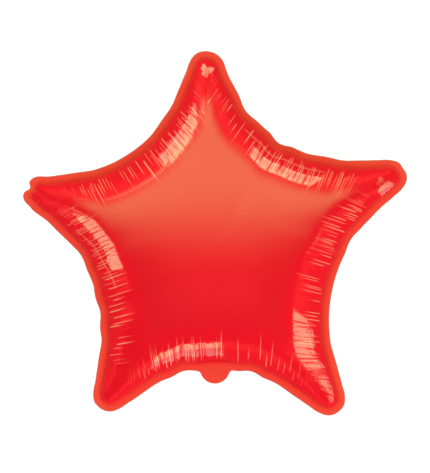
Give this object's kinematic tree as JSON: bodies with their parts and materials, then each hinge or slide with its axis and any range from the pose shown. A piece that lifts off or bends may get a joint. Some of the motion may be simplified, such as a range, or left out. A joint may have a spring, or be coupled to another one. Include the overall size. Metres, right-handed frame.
{
  "type": "star foil balloon",
  "caption": "Blown-up star-shaped foil balloon with a flat sealed border, gathered edges and a short filling tab in its bottom valley, lying on its back.",
  "frame": {"origin": "middle of the small flat patch at the crown of the back film, which the balloon rests on", "axes": "+Z out of the front film, +Y towards the top point, +X to the right as seen from the front"},
  "size_m": [0.399, 0.379, 0.164],
  "materials": {
    "foil": "glossy metallised film, plain red"
  },
  "bodies": {
    "root": {"foil_balloon": "foil"}
  },
  "joints": []
}
